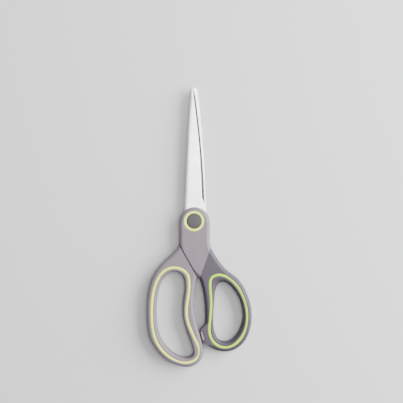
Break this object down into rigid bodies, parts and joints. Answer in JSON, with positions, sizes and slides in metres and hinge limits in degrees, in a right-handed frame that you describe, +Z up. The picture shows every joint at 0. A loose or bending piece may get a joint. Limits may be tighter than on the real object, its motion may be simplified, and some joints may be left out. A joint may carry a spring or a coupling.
{
  "type": "office scissors",
  "caption": "General-purpose right-handed office scissors: two pivoting steel blades with moulded handles, contrasting bands and soft loop liners.",
  "frame": {"origin": "on the pivot axis, in the plane of the underside that lies on the table", "axes": "+Y from the pivot towards the blade tips, +X towards the thumb loop, +Z up along the pivot axis"},
  "size_m": [0.0766, 0.2033, 0.0104],
  "materials": {
    "light_grey_plastic": "satin moulded",
    "dark_grey_plastic": "satin moulded",
    "pale_lime_plastic": "satin moulded",
    "deep_lime_plastic": "satin moulded",
    "light_soft_grip": "soft matt",
    "dark_soft_grip": "soft matt",
    "bumper_rubber": "matt",
    "cap_plastic": "satin moulded",
    "blade_steel": "satin ground",
    "rivet_steel": "turned",
    "washer_nylon": "plain"
  },
  "bodies": {
    "finger_half": {"finger_handle": "light_grey_plastic", "finger_accent_band": "pale_lime_plastic", "finger_liner": "light_soft_grip", "finger_blade": "blade_steel", "pivot_rivet": "rivet_steel", "rivet_washer": "rivet_steel", "blade_washer": "washer_nylon", "rear_pivot_cap": "cap_plastic", "rear_pivot_ring": "pale_lime_plastic"},
    "thumb_half": {"thumb_handle": "dark_grey_plastic", "thumb_accent_band": "deep_lime_plastic", "thumb_liner": "dark_soft_grip", "thumb_blade": "blade_steel", "pivot_cover": "light_grey_plastic", "stop_bumper": "bumper_rubber", "front_pivot_cap": "cap_plastic", "front_pivot_ring": "pale_lime_plastic"}
  },
  "joints": [
    {"name": "blade_pivot", "type": "hinge", "parent": "finger_half", "child": "thumb_half", "pos_m": [0, 0, 0.0052], "axis": [0, 0, 1], "range_deg": [0, 120]}
  ]
}
